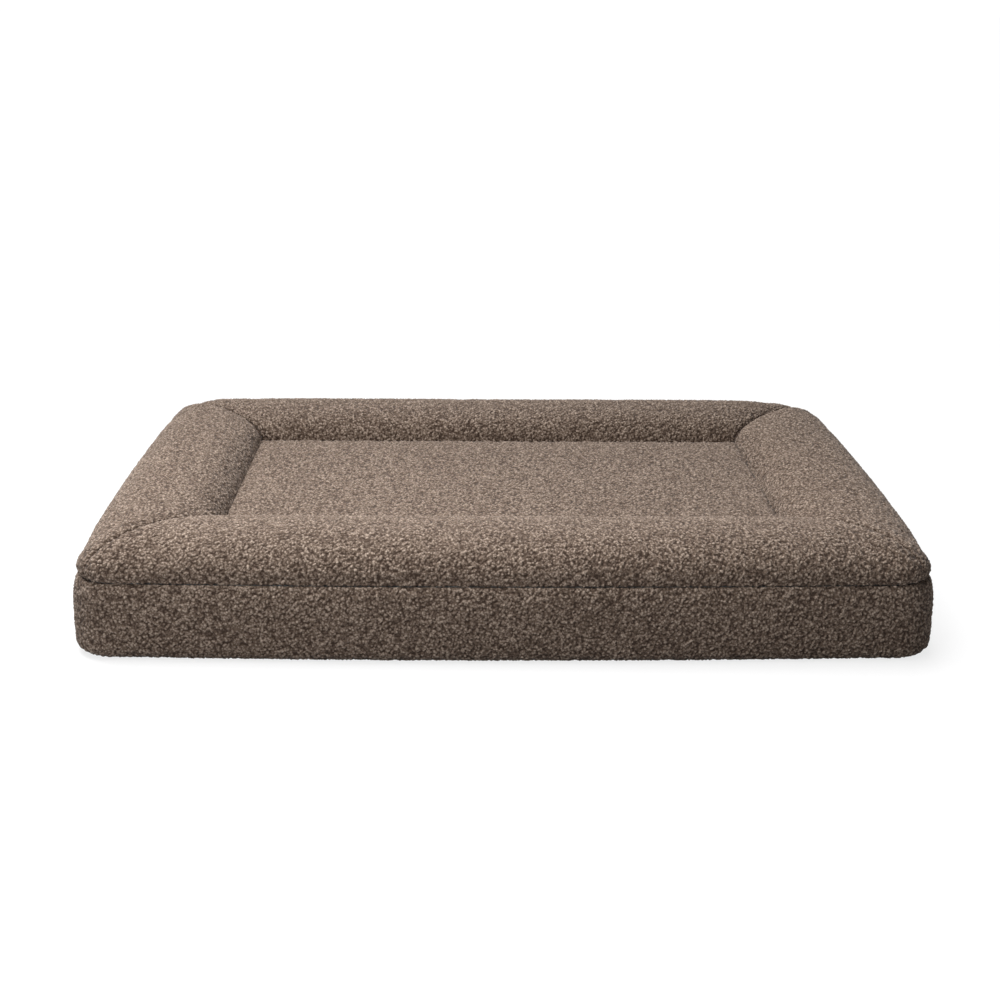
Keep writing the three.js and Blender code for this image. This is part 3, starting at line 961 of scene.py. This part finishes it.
def dome(target, centre):
    """One low dot, closed, pointing down."""
    sides = 10
    rings = [(1.0, 0.3), (1.0, 0.0), (0.8, -0.55), (0.45, -0.9)]  # in the dot's radius and height
    loops = []
    for radius, depth in rings:
        loop = []
        for index in range(sides):
            angle = index * 2 * math.pi / sides
            offset = Vector((math.cos(angle), math.sin(angle), 0)) * radius * DOT_RADIUS
            offset.z = depth * DOT_HEIGHT
            loop.append(target.verts.new(centre + offset))
        loops.append(loop)
    for above, under in zip(loops, loops[1:]):
        for index in range(sides):
            following = (index + 1) % sides
            target.faces.new((above[index], under[index], under[following], above[following]))
    target.faces.new(loops[0])
    target.faces.new(loops[-1][::-1])


# ------------------------------------------------------------------ zip


def tubing(name, path, radius, sides=6):
    """A round tube along a path of points, closed at both ends."""
    ahead = np.gradient(path, axis=0)
    ahead /= np.linalg.norm(ahead, axis=1, keepdims=True)
    first = np.cross(ahead, [1.0, 0.02, 0.01])
    first /= np.linalg.norm(first, axis=1, keepdims=True)
    second = np.cross(first, ahead)
    angle = np.arange(sides) * 2 * math.pi / sides
    ring = first[:, None] * np.cos(angle)[:, None] + second[:, None] * np.sin(angle)[:, None]
    return tube(name, path[:, None] + radius * ring)


def coil(name, node, meshes_up):
    """Half of the zip's chain: a flattened coil of nylon that meshes with the half above or below."""
    low, high = np.array(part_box(node))
    if meshes_up:
        high[2] += COIL_MESH
    else:
        low[2] -= COIL_MESH
    start = 0 if meshes_up else math.pi
    middle = (low + high) / 2
    reach = (high - low) / 2 - COIL_YARN
    turns = round((high[0] - low[0]) / COIL_PITCH)
    angle = np.linspace(0, turns * 2 * math.pi, turns * 10 + 1)
    x = np.linspace(low[0] + COIL_YARN, high[0] - COIL_YARN, len(angle))
    y = middle[1] + reach[1] * np.cos(angle + start)
    z = middle[2] + reach[2] * np.sin(angle + start)
    piece = tubing(name, np.stack([x, y, z], axis=-1), COIL_YARN)
    dress(piece, "zip_coil", node)


def tape(name, node, turned_out):
    """Woven tape, ribbed along its length. The lower one's foot turns out to the rear band."""
    low, high = np.array(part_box(node))
    x = even_range(low[0] - TAPE_LAP, high[0] + TAPE_LAP, 3 * MM)
    y, foot = (low[1] + high[1]) / 2, low[2]
    out = REAR_Y - side_inset(foot) - FABRIC + GAP if turned_out else y
    turn = bezier((out, foot), ((out + y) / 2, foot), (y, foot), (y, foot + TAPE_TURN))
    line = even(np.concatenate([turn, [[y, high[2]]]]), 0.5 * MM)
    ahead = np.gradient(line, axis=0)
    ahead /= np.linalg.norm(ahead, axis=1, keepdims=True)
    inward = np.stack([-ahead[:, 1], ahead[:, 0]], axis=-1)
    rib = 0.08 * MM * (np.arange(len(line)) % 2)
    half = inward * ((high[1] - low[1]) / 2 + rib)[:, None]
    section = np.concatenate([line + half, (line - half)[::-1]])
    grid = np.zeros((len(x), len(section), 3))
    grid[..., 0] = x[:, None]
    grid[..., 1] = section[:, 0] + 0.1 * MM * np.sin(x / (17 * MM))[:, None]
    grid[..., 2] = section[:, 1]
    dress(tube(name, grid), "zip_tape", node)


def squared(wave, power=0.35):
    """A wave with its tops flattened, for a section between a circle and a box."""
    return np.sign(wave) * np.abs(wave) ** power


def end_tab(side):
    """A small folded tab of the boucle over an end of the zip."""
    node = f"zip_end_tab_{side}"
    low, high = np.array(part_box(node))
    low -= [TAB_LAP if side == "left" else 0, TAB_PLUMP, TAB_PLUMP]
    high += [TAB_LAP if side == "right" else 0, TAB_PROUD, TAB_PLUMP]
    x = even_range(low[0], high[0], 0.8 * MM)
    around = np.linspace(2 * math.pi, 0, 40, endpoint=False)
    half = (high - low) / 2
    middle = (high + low) / 2
    plump = (1 - np.abs((x - middle[0]) / half[0]) ** 6 * 0.5)[:, None]
    grid = np.zeros((len(x), len(around), 3))
    grid[..., 0] = x[:, None]
    grid[..., 1] = middle[1] + half[1] * squared(np.cos(around)) * plump
    grid[..., 2] = middle[2] + half[2] * squared(np.sin(around)) * plump
    height, tone = nubs(grid)
    grid[..., 1] += np.sign(np.cos(around)) * (height - PILE_BELOW) * 0.6 * MM
    piece = tube(f"{side}_zip_end", grid)
    # the material paints shade between the loops and highlight on their tops from this height
    paint(piece, "nub", height)
    paint(piece, "tone", tone)
    dress(piece, "boucle", node)


def metal_parts():
    """The slider, its pull and the two stops keep their CAD shapes, with their edges broken."""
    for node, width in BROKEN_EDGES.items():
        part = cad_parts[node]
        weld = part.modifiers.new("joined facets", "WELD")
        weld.merge_threshold = 0.01 * MM
        bevel = part.modifiers.new("broken edges", "BEVEL")
        bevel.width = width
        bevel.segments = 3
        bevel.limit_method = "ANGLE"
        bevel.harden_normals = True
        part.data.materials.clear()
        part.data.materials.append(MATERIALS["zip_metal"])


# ------------------------------------------------------------------ stage

LENS = 55.56
PITCH, YAW, ROLL = math.radians(18.31), math.radians(1.154), math.radians(0.551)
CAMERA_AT = (-0.0410, -1.6281, 0.7353)  # from the middle of the front, in widths of the bed
FLOOR_REACH = 60
FLOOR_GLOW = 1.58  # to the camera alone, and mixed with the lit floor by this share
FLOOR_GLOW_SHARE = 0.5
SKY_LIGHT = 0.1
SKY_SEEN = 1.2


def camera():
    """A long lens from in front and above, turned a little to the right."""
    ahead = Vector((math.sin(YAW), math.cos(YAW), 0))
    level = Vector((math.cos(YAW), -math.sin(YAW), 0))
    forward = ahead * math.cos(PITCH) - Vector((0, 0, math.sin(PITCH)))
    upright = level.cross(forward)
    right = level * math.cos(ROLL) + upright * math.sin(ROLL)
    up = upright * math.cos(ROLL) - level * math.sin(ROLL)
    data = bpy.data.cameras.new("camera")
    data.lens = LENS
    made = bpy.data.objects.new("camera", data)
    turn = Matrix((right, up, -forward)).transposed().to_4x4()
    at = np.array([0, FRONT_Y, 0]) + 2 * HALF_X * np.array(CAMERA_AT)
    made.matrix_world = Matrix.Translation(Vector(at)) @ turn
    bpy.context.scene.collection.objects.link(made)
    bpy.context.scene.camera = made


def floor():
    """A pale floor that the camera sees lit up from within, so that its shadows are faint."""
    material, nodes, links, shader = new_material("floor", 0.9)
    ramp = colour_ramp(nodes, *PALE_FLOOR)
    links.new(grain(3)(nodes, links), ramp.inputs["Fac"])
    links.new(ramp.outputs["Color"], shader.inputs["Base Color"])
    shader.inputs["Specular IOR Level"].default_value = 0
    glow = nodes.new("ShaderNodeEmission")
    glow.inputs["Strength"].default_value = FLOOR_GLOW
    share = nodes.new("ShaderNodeMath")
    share.operation = "MULTIPLY"
    share.inputs[1].default_value = FLOOR_GLOW_SHARE
    links.new(nodes.new("ShaderNodeLightPath").outputs["Is Camera Ray"], share.inputs[0])
    mix = nodes.new("ShaderNodeMixShader")
    links.new(share.outputs["Value"], mix.inputs["Fac"])
    links.new(shader.outputs["BSDF"], mix.inputs[1])
    links.new(glow.outputs["Emission"], mix.inputs[2])
    links.new(mix.outputs["Shader"], nodes["Material Output"].inputs["Surface"])
    corners = [(FLOOR_REACH * x, FLOOR_REACH * y, 0) for x, y in ((-1, -1), (1, -1), (1, 1), (-1, 1))]
    mesh = bpy.data.meshes.new("floor")
    mesh.from_pydata(corners, [], [(0, 1, 2, 3)])
    mesh.materials.append(material)
    made = bpy.data.objects.new("floor", mesh)
    made.location.z = LOW[2]
    bpy.context.scene.collection.objects.link(made)


def lights():
    """An even light from above and behind, and softboxes over the front and at the left."""
    sky = bpy.data.lights.new("even", "SUN")
    sky.energy = 3.1
    sky.angle = math.radians(50)
    aim(sky, at=(-0.28, 0.50, 1), target=(0, 0, 0))
    softbox("over_front", (1.5, 0.6), 11.5, at=(-0.35, -0.46, 1.0), target=(-0.1, -0.3, 0))
    softbox("left", (0.9, 0.9), 6.5, at=(-1.5, -1.3, 0.6), target=(-0.4, -0.3, 0.1))


def softbox(name, size, power, at, target):
    """A square-cornered area light."""
    light = bpy.data.lights.new(name, "AREA")
    light.shape = "RECTANGLE"
    light.size, light.size_y = size
    light.energy = power
    aim(light, at, target)


def aim(light, at, target):
    """Puts a light in the scene, turned to its target and not seen by the camera."""
    made = bpy.data.objects.new(light.name, light)
    made.location = at
    made.rotation_euler = (Vector(target) - Vector(at)).to_track_quat("-Z", "Y").to_euler()
    made.visible_camera = False
    bpy.context.scene.collection.objects.link(made)


def backdrop():
    """White to the camera, and a dimmer grey as a source of light."""
    world = bpy.data.worlds.new("world")
    world.use_nodes = True
    bpy.context.scene.world = world
    nodes, links = world.node_tree.nodes, world.node_tree.links
    glow = nodes["Background"]
    glow.inputs["Color"].default_value = (1, 1, 1, 1)
    glow.inputs["Strength"].default_value = SKY_LIGHT
    seen = nodes.new("ShaderNodeBackground")
    seen.inputs["Color"].default_value = (1, 1, 1, 1)
    seen.inputs["Strength"].default_value = SKY_SEEN
    ray = nodes.new("ShaderNodeLightPath")
    mix = nodes.new("ShaderNodeMixShader")
    links.new(ray.outputs["Is Camera Ray"], mix.inputs["Fac"])
    links.new(glow.outputs["Background"], mix.inputs[1])
    links.new(seen.outputs["Background"], mix.inputs[2])
    links.new(mix.outputs["Shader"], nodes["World Output"].inputs["Surface"])


# ------------------------------------------------------------------ scene

for side in SIDES:
    bolster_cover(side)
    bolster_insert(side)
    bolster_lining(side)
bands()
sleeping_panel()
foams()
liner()
bottom_panel()
coil("zip_coil_lower", "zip_chain_lower", meshes_up=True)
coil("zip_coil_upper", "zip_chain_upper", meshes_up=False)
tape("zip_cloth_lower", "zip_tape_lower", turned_out=True)
tape("zip_cloth_upper", "zip_tape_upper", turned_out=False)
end_tab("left")
end_tab("right")
metal_parts()

camera()
floor()
lights()
backdrop()
bpy.context.scene.view_settings.view_transform = "Standard"
